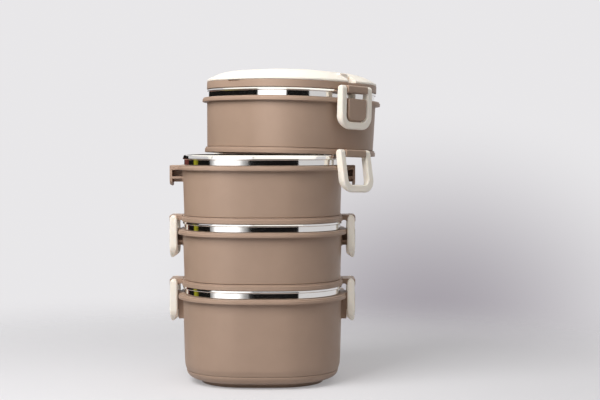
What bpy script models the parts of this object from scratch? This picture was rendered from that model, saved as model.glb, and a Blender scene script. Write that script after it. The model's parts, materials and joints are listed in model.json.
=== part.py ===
"""Stacking bento box: four steel-lined tiers, hooked together by loop latches, under a lid with a handle.

Metres, +Z up, origin in the middle of the foot's flat underside. The latches lie along X.
Each tier has its own frame, whose z is 0 at the lower edge of its skirt.
"""

import math

import bmesh
import bpy
from mathutils import Matrix, Vector

MM = 0.001

# Plan outline of a body: a square with bulged sides and large round corners
BODY_WIDTH = 142.0 * MM
SIDE_RADIUS = 260.0 * MM
CORNER_RADIUS = 55.0 * MM
CORNER_STEPS = 6

# Clearances
GAP = 0.3 * MM
HOOK_GAP = 0.6 * MM
SIDE_PLAY = 0.4 * MM

# Heights of one tier, from its skirt up to the steel rim
SKIRT_HEIGHT = 5.0 * MM
SKIRT_STEP_HEIGHT = 3.6 * MM
WALL_HEIGHT = 40.4 * MM
FLANGE_HEIGHT = 3.9 * MM
FLANGE_STEP_HEIGHT = 2.6 * MM
BAND_HEIGHT = 5.1 * MM
BEAD_HEIGHT = 4.2 * MM
NEST_DEPTH = 2.0 * MM
BOTTOM_FLANGE_HEIGHT = 74.6 * MM

# Reaches outwards from the body outline (a negative reach lies inside it)
WALL_DRAFT = 1.2 * MM
WALL_THICKNESS = 2.2 * MM
FLANGE_REACH = 4.2 * MM
FLANGE_STEP_REACH = 3.5 * MM
SKIRT_REACH = 0.9 * MM
SKIRT_STEP_REACH = 0.1 * MM
LIP_REACH = 0.4 * MM
BAND_REACH = -1.2 * MM
BEAD_REACH = 0.1 * MM

# Steel liner
STEEL = 0.6 * MM
LINER_AIR = 0.8 * MM
LINER_DRAFT = 1.6 * MM
LINER_CORNER = 9.0 * MM
LINER_FLOOR_AIR = 2.0 * MM
BEAD_LOW = 0.17
BEAD_HIGH = 0.45
BEAD_CROWN = 0.6 * MM
BEAD_SHOULDER = 0.9 * MM

# Seal ring, set in a groove over the crown of the rim below
SEAL_WIDTH = 2.7 * MM
SEAL_HEIGHT = 1.6 * MM

# Rounded foot of the bottom tier
BASE_LINE_HEIGHT = 11.5 * MM
BASE_ROUND_TOP = 24.0 * MM
BASE_EDGE_HEIGHT = 3.9 * MM
BASE_EDGE_REACH = -12.5 * MM
BASE_LINE_REACH = -3.0 * MM
FOOT_REACH = -16.5 * MM
BASE_THICKNESS = 2.0 * MM
FOOT_FLARE = 1.5 * MM
FOOT_BULGE = 0.5 * MM
FOOT_BEND = 0.36
BASE_INSIDE_REACH = 0.6
BASE_INSIDE_RISE = 0.16

# Loop latch, measured from its hinge axis
PIVOT_REACH = 7.9 * MM
PIVOT_HEIGHT = 1.4 * MM
LATCH_WIDTH = 38.8 * MM
LATCH_ARM = 6.5 * MM
LATCH_THICKNESS = 7.0 * MM
LATCH_DROP = 34.6 * MM
LATCH_BAR = 6.6 * MM
LATCH_CORNER = 11.5 * MM
LATCH_WINDOW_CORNER = 6.0 * MM
LATCH_EDGE = 0.9 * MM
LATCH_CORNER_STEPS = 4
HOOK_RELIEF = 4.1 * MM
WEDGE = 4.3 * MM
RELIEF_RUN = 0.4 * LATCH_BAR
WEDGE_RUN = 0.5 * LATCH_BAR
BAR_SET_BACK = 0.4 * MM
ARM_TOPS = ((70, 0.45), (46, 0.12), (0, 0.0))
ARM_TOP_SLIM = 0.92
ARM_TOP_INNER = 0.3
ARM_TOP_LEAST = 0.3

# Hinge pin and the knuckle that holds it
PIN_RADIUS = 1.0 * MM
PIN_SIDES = 10
PIN_COVER = 1.9 * MM
KNUCKLE_TOP = 3.5 * MM
KNUCKLE_DROP = 3.2 * MM
KNUCKLE_END = 4.0 * MM
KNUCKLE_ROUND = 1.5 * MM
KNUCKLE_SET_DOWN = 0.1 * MM
KNUCKLE_ROOT = 0.15 * MM
KNUCKLE_STEP = 2.0 * MM

# Lug that the latch hooks under
LUG_WIDTH = 22.0 * MM
LUG_PLATE = 2.2 * MM
LUG_PLATE_REACH = 11.8 * MM
LUG_PLATE_CORNER = 5.0 * MM
LUG_PLATE_RELIEF = 1.0 * MM
LUG_DEPTH = 11.2 * MM
LUG_WEB = 2.0 * MM
LUG_RIB = 2.0 * MM
LUG_RIB_DROP = 6.2 * MM
LUG_ROOT = 0.75
BOTTOM_LUG_DEPTH = 19.7 * MM
BOTTOM_LUG_REACH = 4.0 * MM

# Lid
LID_NEST = 1.4 * MM
LID_RIM_HEIGHT = 6.4 * MM
LID_RIM_REACH = 0.45 * MM
LID_PLATE = 2.2 * MM
LID_WELL_REACH = -7.0 * MM
LID_PIVOT_HEIGHT = -0.25 * MM
NOTCH_WIDTH = 15.0 * MM
NOTCH_HEIGHT = 1.1 * MM
NOTCH_DEPTH = 2.6 * MM

# Cream cap and the carrying handle let into it
CAP_REACH = 0.35 * MM
DOME_EDGE = 1.6 * MM
DOME_RISE = 10.75 * MM
DOME_RUN = 34.0 * MM
DOME_POWER = 2.4
DOME_STEPS = 4
CAP_WALL = 3.0 * MM
CAP_HOLLOW_REACH = -26.0 * MM
CAP_END = 9.0 * MM
HANDLE_WIDTH = 15.0 * MM
HANDLE_END = -0.5 * MM
HANDLE_PIVOT_Y = 4.0 * MM
HANDLE_BOSS_RADIUS = 4.1 * MM
HANDLE_BOSS_LENGTH = 7.0 * MM
HANDLE_PIN_RADIUS = 1.2 * MM
HANDLE_PIN_GRIP = 6.0 * MM
HANDLE_PIN_END = 1.5 * MM
HANDLE_BOSS_ROOT = 2.0 * MM
CUT_MARGIN = 1.0 * MM
CUT_SPAN = 1.4
DOME_CROWD = 1.5

# How the top tier is set down: turned, and shifted over the rim of the third tier
TOP_TURN = math.radians(-45.0)
TOP_SHIFT = Vector((24.3 * MM, 21.3 * MM))
RIM_SAMPLES = 120
SWING_STEP = math.radians(0.25)
SWING_LIMIT = math.radians(80.0)

# Worked-out places on a tier
HALF = BODY_WIDTH / 2
SIDE_CENTRE = SIDE_RADIUS - HALF
CORNER_CENTRE = (math.sqrt(2 * (SIDE_RADIUS - CORNER_RADIUS) ** 2 - SIDE_CENTRE ** 2) - SIDE_CENTRE) / 2
SIDE_ANGLE = math.atan2(CORNER_CENTRE, CORNER_CENTRE + SIDE_CENTRE)
FLANGE_Z = SKIRT_HEIGHT + WALL_HEIGHT
FLANGE_TOP = FLANGE_Z + FLANGE_HEIGHT
BEAD_Z = FLANGE_TOP + BAND_HEIGHT
RIM_TOP = BEAD_Z + BEAD_HEIGHT
PITCH = RIM_TOP + GAP - NEST_DEPTH
PAN_REACH = -(WALL_THICKNESS + LINER_AIR)
CROWN_REACH = BAND_REACH - STEEL / 2
GROOVE_OUT = CROWN_REACH + SEAL_WIDTH / 2 + GAP
GROOVE_IN = CROWN_REACH - SEAL_WIDTH / 2 - GAP
PIVOT_X = HALF + PIVOT_REACH
WINDOW_HALF = LATCH_WIDTH / 2 - LATCH_ARM
LATCH_HOOK_Z = LATCH_DROP - LATCH_BAR
LUG_FACE_X = HALF + LUG_PLATE_REACH

# Heights of the tier frames
BOTTOM_Z = BOTTOM_FLANGE_HEIGHT - FLANGE_Z
SECOND_Z = BOTTOM_Z + PITCH
THIRD_Z = SECOND_Z + PITCH
LID_Z = RIM_TOP - LID_NEST
CAP_Z = LID_RIM_HEIGHT + GAP

# Colours and finishes, read by eye from the photograph
TAUPE = ((0.36, 0.265, 0.205), 0.55, 0.0)
CREAM = ((0.86, 0.80, 0.69), 0.42, 0.0)
STEEL_FINISH = ((0.72, 0.71, 0.69), 0.12, 1.0)
SILICONE = ((0.82, 0.81, 0.78), 0.6, 0.0)
PIN_FINISH = ((0.62, 0.61, 0.60), 0.25, 1.0)


def clear_scene():
    for obj in list(bpy.data.objects):
        bpy.data.objects.remove(obj)


def outline(reach, steps=CORNER_STEPS):
    """Points of the plan outline, moved outwards by reach, counter-clockwise from +X."""
    points = []
    for quarter in range(4):
        turn = quarter * math.pi / 2
        local = [(HALF + reach, 0.0)]
        for step in range(steps + 1):
            angle = SIDE_ANGLE + (math.pi / 2 - 2 * SIDE_ANGLE) * step / steps
            radius = CORNER_RADIUS + reach
            local.append((CORNER_CENTRE + radius * math.cos(angle), CORNER_CENTRE + radius * math.sin(angle)))
        for x, y in local:
            points.append((x * math.cos(turn) - y * math.sin(turn), x * math.sin(turn) + y * math.cos(turn)))
    return points


def reach_of(x, y):
    """How far outside the body outline a plan point lies."""
    x, y = max(abs(x), abs(y)), min(abs(x), abs(y))
    if math.atan2(y, x + SIDE_CENTRE) < SIDE_ANGLE:
        return math.hypot(x + SIDE_CENTRE, y) - SIDE_RADIUS
    return math.hypot(x - CORNER_CENTRE, y - CORNER_CENTRE) - CORNER_RADIUS


def finish(obj, look):
    colour, roughness, metallic = look
    material = bpy.data.materials.new(obj.name + "_finish")
    material.use_nodes = True
    shader = material.node_tree.nodes["Principled BSDF"]
    shader.inputs["Base Color"].default_value = (*colour, 1.0)
    shader.inputs["Roughness"].default_value = roughness
    shader.inputs["Metallic"].default_value = metallic
    material.diffuse_color = (*colour, 1.0)
    obj.data.materials.append(material)


def make_object(name, bm, parent, look=None):
    """Turn a bmesh into an object under its parent frame; without a look it is a hidden tool."""
    bmesh.ops.recalc_face_normals(bm, faces=bm.faces)
    mesh = bpy.data.meshes.new(name)
    bm.to_mesh(mesh)
    bm.free()
    mesh.shade_smooth()
    mesh.set_sharp_from_angle(angle=math.radians(32))
    obj = bpy.data.objects.new(name, mesh)
    bpy.context.scene.collection.objects.link(obj)
    obj.parent = parent
    if look is None:
        obj.hide_render = True
        obj.display_type = "WIRE"
    else:
        finish(obj, look)
    return obj


def make_frame(name, matrix, parent=None):
    frame = bpy.data.objects.new(name, None)
    bpy.context.scene.collection.objects.link(frame)
    frame.parent = parent
    frame.matrix_local = matrix
    return frame


def combine(obj, tool, operation):
    modifier = obj.modifiers.new(tool.name, "BOOLEAN")
    modifier.operation = operation
    modifier.solver = "EXACT"
    modifier.object = tool


def loft(profile, closed=False):
    """Body outlines stacked through (reach, z) pairs; closed joins the last one to the first."""
    bm = bmesh.new()
    rings = [[bm.verts.new((x, y, z)) for x, y in outline(reach)] for reach, z in profile]
    pairs = list(zip(rings, rings[1:]))
    if closed:
        pairs.append((rings[-1], rings[0]))
    else:
        bm.faces.new(rings[0])
        bm.faces.new(rings[-1])
    for low, high in pairs:
        for i in range(len(low)):
            j = (i + 1) % len(low)
            bm.faces.new((low[i], low[j], high[j], high[i]))
    return bm


def extrude_polygon(bm, corners, shift):
    """Close a flat polygon of 3-D corners into a prism along the shift."""
    start = [bm.verts.new(corner) for corner in corners]
    end = [bm.verts.new(corner + shift) for corner in corners]
    bm.faces.new(start)
    bm.faces.new(end)
    for i in range(len(corners)):
        j = (i + 1) % len(corners)
        bm.faces.new((start[i], start[j], end[j], end[i]))


def side_prism(bm, section, half_width, y_from=None):
    """A prism with an (x, z) section, from y_from (or -half_width) to half_width, on the +X side."""
    low = -half_width if y_from is None else y_from
    corners = [Vector((x, low, z)) for x, z in section]
    extrude_polygon(bm, corners, Vector((0, half_width - low, 0)))


def plan_prism(bm, points, z_low, z_high):
    corners = [Vector((x, y, z_low)) for x, y in points]
    extrude_polygon(bm, corners, Vector((0, 0, z_high - z_low)))


def both_sides(build):
    """Build on the +X side, and the same again turned to the -X side."""
    bm = bmesh.new()
    build(bm)
    copy = bmesh.ops.duplicate(bm, geom=bm.verts[:] + bm.edges[:] + bm.faces[:])
    turned = [item for item in copy["geom"] if isinstance(item, bmesh.types.BMVert)]
    bmesh.ops.rotate(bm, verts=turned, matrix=Matrix.Rotation(math.pi, 3, "Z"))
    return bm


def rod(bm, radius, start, end, y, z, sides=PIN_SIDES):
    """A round bar along X."""
    corners = []
    for i in range(sides):
        angle = 2 * math.pi * (i + 0.5) / sides
        corners.append(Vector((start, y + radius * math.cos(angle), z + radius * math.sin(angle))))
    extrude_polygon(bm, corners, Vector((end - start, 0, 0)))


def cross_rod(bm, radius, half_length, x, z, sides=PIN_SIDES):
    """A round bar along Y."""
    section = []
    for i in range(sides):
        angle = 2 * math.pi * (i + 0.5) / sides
        section.append((x + radius * math.cos(angle), z + radius * math.sin(angle)))
    side_prism(bm, section, half_length)


def arc(centre, radius, start, end, steps):
    """Points on an arc, angles in degrees."""
    points = []
    for i in range(steps + 1):
        angle = math.radians(start + (end - start) * i / steps)
        points.append((centre[0] + radius * math.cos(angle), centre[1] + radius * math.sin(angle)))
    return points


# Steel liners

def liner_profile(floor_z):
    inner = PAN_REACH - STEEL
    foot = PAN_REACH - LINER_DRAFT
    inner_foot = foot - STEEL
    inner_round = LINER_CORNER - STEEL
    bend = 1 - math.sqrt(0.5)
    ledge = FLANGE_TOP + GAP
    crown = RIM_TOP
    return [
        (foot - LINER_CORNER, floor_z),
        (foot - bend * LINER_CORNER, floor_z + bend * LINER_CORNER),
        (foot, floor_z + LINER_CORNER),
        (PAN_REACH, ledge),
        (BAND_REACH, ledge),
        (BAND_REACH, BEAD_Z),
        (BEAD_REACH, BEAD_Z + BEAD_HEIGHT * BEAD_LOW),
        (BEAD_REACH, BEAD_Z + BEAD_HEIGHT * BEAD_HIGH),
        (BEAD_REACH - BEAD_SHOULDER, crown - BEAD_CROWN),
        (CROWN_REACH, crown),
        (BAND_REACH - STEEL, crown - BEAD_CROWN),
        (BAND_REACH - STEEL, ledge + STEEL),
        (inner, ledge + STEEL),
        (inner_foot, floor_z + LINER_CORNER),
        (inner_foot - bend * inner_round, floor_z + STEEL + bend * inner_round),
        (inner_foot - inner_round, floor_z + STEEL),
    ]


def build_liner(name, frame, floor_z):
    return make_object(name, loft(liner_profile(floor_z)), frame, STEEL_FINISH)


# Outer shells with their flange and lugs

def hook_height(pivot_z):
    """Underside of a lug's plate, above the crossbar of a latch whose hinge is at pivot_z."""
    return pivot_z - LATCH_HOOK_Z + HOOK_GAP


def lug_block(bm, low_z, step=None):
    top = FLANGE_TOP - GAP
    buried = HALF - LUG_ROOT * WALL_THICKNESS
    bar = LUG_FACE_X - LUG_PLATE / 2
    section = [(buried, top), (buried, low_z), (bar, low_z), (bar, top)]
    if step is not None:
        reach, deep_z = step
        section[1:2] = [(buried, deep_z), (HALF + reach, deep_z), (HALF + reach, low_z)]
    side_prism(bm, section, LUG_WIDTH / 2)


def lug_plate(bm, hook_z):
    """The upright plate, with its lower corners round and its underside sloped along the hook's path."""
    top = FLANGE_TOP - GAP
    half = LUG_WIDTH / 2
    corner = LUG_PLATE_CORNER
    steps = 3

    def side_view(low):
        points = arc((half - corner, low + corner), corner, 0, -90, steps)
        points += arc((-half + corner, low + corner), corner, -90, -180, steps)
        return [(half, top)] + points + [(-half, top)]

    inner = [bm.verts.new((LUG_FACE_X - LUG_PLATE, y, z)) for y, z in side_view(hook_z)]
    outer = [bm.verts.new((LUG_FACE_X, y, z)) for y, z in side_view(hook_z + LUG_PLATE_RELIEF)]
    bm.faces.new(inner)
    bm.faces.new(outer)
    for i in range(len(inner)):
        j = (i + 1) % len(inner)
        bm.faces.new((inner[i], inner[j], outer[j], outer[i]))


def lug_pockets(bm, low_z):
    """Two pockets on each side of the web, parted by a level rib."""
    back = HALF + GAP
    front = LUG_FACE_X - LUG_PLATE
    roof = FLANGE_Z - GAP
    rib_top = FLANGE_Z - LUG_RIB_DROP
    levels = [(rib_top, roof), (low_z - LUG_RIB, rib_top - LUG_RIB)]
    for bottom, top in levels:
        section = [(back, bottom), (front, bottom), (front, top), (back, top)]
        side_prism(bm, section, LUG_WIDTH, LUG_WEB / 2)
        side_prism(bm, section, -LUG_WEB / 2, -LUG_WIDTH)


def shell_profile(low_z, outer_foot):
    """Closed section: up the outside, over the flange, and down the inside."""
    foot_reach = outer_foot[0][0]
    return outer_foot + [
        (0.0, FLANGE_Z),
        (FLANGE_REACH, FLANGE_Z),
        (FLANGE_REACH, FLANGE_Z + FLANGE_STEP_HEIGHT),
        (FLANGE_STEP_REACH, FLANGE_Z + FLANGE_STEP_HEIGHT),
        (FLANGE_STEP_REACH, FLANGE_TOP),
        (-WALL_THICKNESS, FLANGE_TOP),
        (foot_reach - WALL_THICKNESS, low_z),
    ]


def build_shell(name, frame, profile, latch_pivot_z, closed_lug=False):
    shell = make_object(name, loft(profile, closed=True), frame, TAUPE)
    hook_z = hook_height(latch_pivot_z)
    low_z = FLANGE_Z - LUG_DEPTH
    step = (BOTTOM_LUG_REACH, FLANGE_Z - BOTTOM_LUG_DEPTH) if closed_lug else None
    blocks = make_object(name + "_lug_blocks", both_sides(lambda bm: lug_block(bm, low_z, step)), frame)
    combine(shell, blocks, "UNION")
    plates = make_object(name + "_lug_plates", both_sides(lambda bm: lug_plate(bm, hook_z)), frame)
    combine(shell, plates, "UNION")
    if not closed_lug:
        pockets = make_object(name + "_lug_pockets", both_sides(lambda bm: lug_pockets(bm, low_z)), frame)
        combine(shell, pockets, "DIFFERENCE")
    return shell


# Bases with their skirt, seal groove and knuckles

def seal_groove(floor_z):
    roof = floor_z + SEAL_HEIGHT + GAP
    return [(GROOVE_IN, floor_z), (GROOVE_IN, roof), (GROOVE_OUT, roof), (GROOVE_OUT, floor_z)]


def build_seal(name, frame, floor_z):
    out = CROWN_REACH + SEAL_WIDTH / 2
    inside = CROWN_REACH - SEAL_WIDTH / 2
    top = floor_z + SEAL_HEIGHT
    profile = [(inside, floor_z), (out, floor_z), (out, top), (inside, top)]
    return make_object(name, loft(profile, closed=True), frame, SILICONE)


def knuckle(bm, pivot_z, rim_low_z, root_reach):
    """A tab from the rim out round the hinge pin, between the latch's arms."""
    top = pivot_z + KNUCKLE_TOP - KNUCKLE_SET_DOWN
    low = pivot_z - KNUCKLE_DROP
    end = PIVOT_X + KNUCKLE_END
    turn = KNUCKLE_ROUND
    web = rim_low_z + GAP
    lip = HALF + (LIP_REACH + root_reach) / 2
    deep = HALF + GROOVE_OUT + KNUCKLE_ROOT
    section = [(deep, top), (deep, rim_low_z + NEST_DEPTH + KNUCKLE_ROOT), (lip, web)]
    section += [(lip + KNUCKLE_STEP, web)]
    section += [(PIVOT_X - KNUCKLE_ROUND, low)]
    section += arc((end - turn, low + turn), turn, -90, 0, 2)
    section += arc((end - turn, top - turn), turn, 0, 90, 2)
    side_prism(bm, section, WINDOW_HALF - SIDE_PLAY)


def add_knuckles(obj, frame, pivot_z, rim_low_z, root_reach):
    tool = both_sides(lambda bm: knuckle(bm, pivot_z, rim_low_z, root_reach))
    combine(obj, make_object(obj.name + "_knuckles", tool, frame), "UNION")
    bores = both_sides(lambda bm: cross_rod(bm, PIN_RADIUS + GAP, LATCH_WIDTH / 2, PIVOT_X, pivot_z))
    combine(obj, make_object(obj.name + "_bores", bores, frame), "DIFFERENCE")


def build_base(name, frame):
    """Closed floor of an upper tier; its skirt nests over the steel rim of the tier below."""
    profile = seal_groove(NEST_DEPTH) + [
        (LIP_REACH, 0.0),
        (SKIRT_REACH, 0.0),
        (SKIRT_REACH, SKIRT_STEP_HEIGHT),
        (SKIRT_STEP_REACH, SKIRT_STEP_HEIGHT),
        (SKIRT_STEP_REACH, SKIRT_HEIGHT),
    ]
    base = make_object(name, loft(profile), frame, TAUPE)
    add_knuckles(base, frame, PIVOT_HEIGHT, 0.0, SKIRT_REACH)
    return base


# Loop latches and their pins

def latch_ring(outer, inner, spread, blend):
    """Eight corners of the loop's section between an outer and an inner edge point.

    spread is half the thickness; blend goes from 0 on an arm to 1 on the hooked crossbar.
    """
    outer, inner = Vector(outer), Vector(inner)
    along = (outer - inner).normalized()
    width = (outer - inner).length
    edge = LATCH_EDGE * spread / (LATCH_THICKNESS / 2)
    relief = edge + (HOOK_RELIEF - edge) * blend
    wedge = edge + (WEDGE - edge) * blend
    relief_run = edge + (RELIEF_RUN - edge) * blend
    wedge_run = edge + (WEDGE_RUN - edge) * blend
    face = spread - BAR_SET_BACK * blend
    corners = [
        (face, edge),
        (face - edge, 0.0),
        (-spread + relief, 0.0),
        (-spread, relief_run),
        (-spread, width - wedge_run),
        (-spread + wedge, width),
        (face - edge, width),
        (face, width - edge),
    ]
    ring = []
    for x, run in corners:
        point = inner + along * run
        ring.append(Vector((x, point.x, point.y)))
    return ring


def latch_rings():
    half = LATCH_THICKNESS / 2
    wide = LATCH_WIDTH / 2
    rings = []
    for angle, narrow in ARM_TOPS:
        height = math.sin(math.radians(angle))
        spread = half * max(ARM_TOP_SLIM * math.cos(math.radians(angle)), ARM_TOP_LEAST)
        outer = (wide - narrow * half, half * height)
        inner = (WINDOW_HALF + ARM_TOP_INNER * narrow * half, half * height)
        rings.append(latch_ring(outer, inner, spread, 0.0))
    outer_centre = (wide - LATCH_CORNER, LATCH_CORNER - LATCH_DROP)
    outer_arc = arc(outer_centre, LATCH_CORNER, 0, -90, LATCH_CORNER_STEPS)
    inner_centre = (WINDOW_HALF - LATCH_WINDOW_CORNER, LATCH_WINDOW_CORNER - LATCH_HOOK_Z)
    inner_arc = arc(inner_centre, LATCH_WINDOW_CORNER, 0, -90, LATCH_CORNER_STEPS)
    for i, (outer, inner) in enumerate(zip(outer_arc, inner_arc)):
        rings.append(latch_ring(outer, inner, half, math.sin(math.pi / 2 * i / LATCH_CORNER_STEPS) ** 2))
    mirrored = [[Vector((p.x, -p.y, p.z)) for p in ring] for ring in reversed(rings)]
    return rings + mirrored


def build_latch(name, frame, side, pivot_z, swing=0.0):
    """The loop, with its origin on the hinge axis; side is 1 at +X and -1 at -X."""
    bm = bmesh.new()
    rings = [[bm.verts.new(point) for point in ring] for ring in latch_rings()]
    for a, b in zip(rings, rings[1:]):
        for i in range(len(a)):
            j = (i + 1) % len(a)
            bm.faces.new((a[i], a[j], b[j], b[i]))
    bm.faces.new(rings[0])
    bm.faces.new(rings[-1])
    latch = make_object(name, bm, frame, CREAM)
    turn = 0.0 if side > 0 else math.pi
    latch.location = (side * PIVOT_X, 0.0, pivot_z)
    latch.rotation_euler = (Matrix.Rotation(turn, 3, "Z") @ Matrix.Rotation(-swing, 3, "Y")).to_euler()
    bore = bmesh.new()
    cross_rod(bore, PIN_RADIUS + GAP, LATCH_WIDTH / 2 - PIN_COVER + GAP, 0.0, 0.0)
    tool = make_object(name + "_bore", bore, latch)
    combine(latch, tool, "DIFFERENCE")
    return latch


def build_pin(name, frame, side, pivot_z):
    bm = bmesh.new()
    cross_rod(bm, PIN_RADIUS, LATCH_WIDTH / 2 - PIN_COVER, 0.0, 0.0)
    pin = make_object(name, bm, frame, PIN_FINISH)
    pin.location = (side * PIVOT_X, 0.0, pivot_z)
    return pin


def build_latch_pair(prefix, frame, pivot_z, swings=(0.0, 0.0)):
    for side, word, swing in ((-1, "left", swings[0]), (1, "right", swings[1])):
        build_latch(f"{prefix}_{word}_latch", frame, side, pivot_z, swing)
        build_pin(f"{prefix}_{word}_pin", frame, side, pivot_z)


# Tiers

def build_bottom_tier(frame):
    line = BASE_LINE_HEIGHT - BOTTOM_Z
    round_top = BASE_ROUND_TOP - BOTTOM_Z
    middle_reach = (BASE_LINE_REACH - WALL_DRAFT) / 2 + FOOT_BULGE
    middle = line + (round_top - line) * FOOT_BEND
    outer_foot = [
        (BASE_LINE_REACH, line),
        (middle_reach, middle),
        (-WALL_DRAFT, round_top),
    ]
    profile = shell_profile(line, outer_foot)
    profile.insert(-1, (-WALL_DRAFT - WALL_THICKNESS, round_top))
    profile.insert(-1, (middle_reach - WALL_THICKNESS, middle))
    build_shell("bottom_shell", frame, profile, PITCH + PIVOT_HEIGHT, closed_lug=True)

    top = line - GAP
    edge = BASE_EDGE_HEIGHT - BOTTOM_Z
    drop = top - edge
    run = BASE_LINE_REACH - BASE_EDGE_REACH
    round_points = []
    for angle in (0, 30, 60, 90):
        turn = math.radians(angle)
        round_points.append((BASE_EDGE_REACH + run * math.cos(turn), top - drop * math.sin(turn)))
    inner_top = (BASE_LINE_REACH - BASE_THICKNESS, top)
    inner_mid = (
        BASE_EDGE_REACH + (run - BASE_THICKNESS) * BASE_INSIDE_REACH,
        edge + BASE_THICKNESS + drop * BASE_INSIDE_RISE,
    )
    inner_low = (BASE_EDGE_REACH, edge + BASE_THICKNESS)
    base_profile = [inner_low, inner_mid, inner_top] + round_points
    base_profile += [(FOOT_REACH + FOOT_FLARE, edge), (FOOT_REACH, -BOTTOM_Z)]
    make_object("bottom_base", loft(base_profile), frame, TAUPE)
    build_liner("bottom_liner", frame, edge + BASE_THICKNESS + LINER_FLOOR_AIR)


def build_upper_tier(prefix, frame, latch_pivot_z, swings=(0.0, 0.0)):
    foot = SKIRT_HEIGHT + GAP
    profile = shell_profile(foot, [(-WALL_DRAFT, foot)])
    build_shell(prefix + "_shell", frame, profile, latch_pivot_z)
    build_base(prefix + "_base", frame)
    build_liner(prefix + "_liner", frame, SKIRT_HEIGHT + LINER_FLOOR_AIR)
    build_seal(prefix + "_seal", frame, NEST_DEPTH)
    build_latch_pair(prefix, frame, PIVOT_HEIGHT, swings)


# Lid, cap and carrying handle

def build_lid_base(frame):
    floor_z = LID_NEST + GAP
    well_z = LID_RIM_HEIGHT - LID_PLATE
    profile = [(LID_WELL_REACH, well_z), (LID_WELL_REACH, floor_z)] + seal_groove(floor_z) + [
        (0.0, 0.0),
        (LID_RIM_REACH, 0.0),
        (LID_RIM_REACH, LID_RIM_HEIGHT),
    ]
    base = make_object("lid_base", loft(profile), frame, TAUPE)
    tool = both_sides(lambda bm: knuckle_for_lid(bm))
    combine(base, make_object("lid_base_knuckles", tool, frame), "UNION")
    bores = both_sides(lambda bm: cross_rod(bm, PIN_RADIUS + GAP, LATCH_WIDTH / 2, PIVOT_X, LID_PIVOT_HEIGHT))
    combine(base, make_object("lid_base_bores", bores, frame), "DIFFERENCE")
    notch = bmesh.new()
    face = HALF + LID_RIM_REACH
    half = NOTCH_WIDTH / 2
    points = [(-half, -face - NOTCH_DEPTH), (half, -face - NOTCH_DEPTH), (half, -face + NOTCH_DEPTH)]
    points += [(-half, -face + NOTCH_DEPTH)]
    plan_prism(notch, points, LID_RIM_HEIGHT - NOTCH_HEIGHT, LID_RIM_HEIGHT + NOTCH_HEIGHT)
    combine(base, make_object("lid_base_notch", notch, frame), "DIFFERENCE")


def knuckle_for_lid(bm):
    top = LID_PIVOT_HEIGHT + KNUCKLE_TOP
    low = LID_PIVOT_HEIGHT - KNUCKLE_DROP
    end = PIVOT_X + KNUCKLE_END
    turn = KNUCKLE_ROUND
    root = HALF + KNUCKLE_ROOT
    section = [(root, top), (root, GAP), (PIVOT_X - KNUCKLE_ROUND, low)]
    section += arc((end - turn, low + turn), turn, -90, 0, 2)
    section += arc((end - turn, top - turn), turn, 0, 90, 2)
    side_prism(bm, section, WINDOW_HALF - SIDE_PLAY)


def dome_profile():
    """(reach, z) pairs over the cream top, from its lower edge to its flat middle."""
    profile = [(CAP_REACH, CAP_Z)]
    for i in range(DOME_STEPS + 1):
        share = (i / DOME_STEPS) ** DOME_CROWD
        lift = DOME_EDGE + (DOME_RISE - DOME_EDGE) * (1 - (1 - share) ** DOME_POWER)
        profile.append((CAP_REACH - share * DOME_RUN, CAP_Z + lift))
    return profile


def handle_plan(reach, end_y):
    """U-shaped plan over the -Y half: everything outside the outline at reach, up to end_y."""
    far = HALF * CUT_SPAN
    inner_x = HALF + reach
    inner = [(inner_x, end_y)]
    if end_y > HANDLE_END:
        inner.append((inner_x, HANDLE_END))
    points = [p for p in outline(reach) if p[1] < HANDLE_END - CUT_MARGIN]
    points.sort(key=lambda p: math.atan2(p[1], p[0]), reverse=True)
    inner += points
    if end_y > HANDLE_END:
        inner.append((-inner_x, HANDLE_END))
    inner.append((-inner_x, end_y))
    return inner + [(-far, end_y), (-far, -far), (far, -far), (far, end_y)]


def handle_pivot_z():
    return CAP_Z + HANDLE_BOSS_RADIUS


def handle_boss(bm):
    inner = HALF - HANDLE_WIDTH
    pivot = handle_pivot_z()
    circle = arc((HANDLE_PIVOT_Y, pivot), HANDLE_BOSS_RADIUS, -90, 90, 6)
    root_y = HANDLE_END - HANDLE_BOSS_ROOT
    section = circle + [(root_y, pivot + HANDLE_BOSS_RADIUS), (root_y, pivot - HANDLE_BOSS_RADIUS)]
    corners = [Vector((inner, y, z)) for y, z in section]
    extrude_polygon(bm, corners, Vector((HANDLE_BOSS_LENGTH, 0, 0)))


def mirrored_sides(build):
    """Build on the +X side, and its mirror image on the -X side."""
    bm = bmesh.new()
    build(bm)
    copy = bmesh.ops.duplicate(bm, geom=bm.verts[:] + bm.edges[:] + bm.faces[:])
    for item in copy["geom"]:
        if isinstance(item, bmesh.types.BMVert):
            item.co.x = -item.co.x
    return bm


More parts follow.
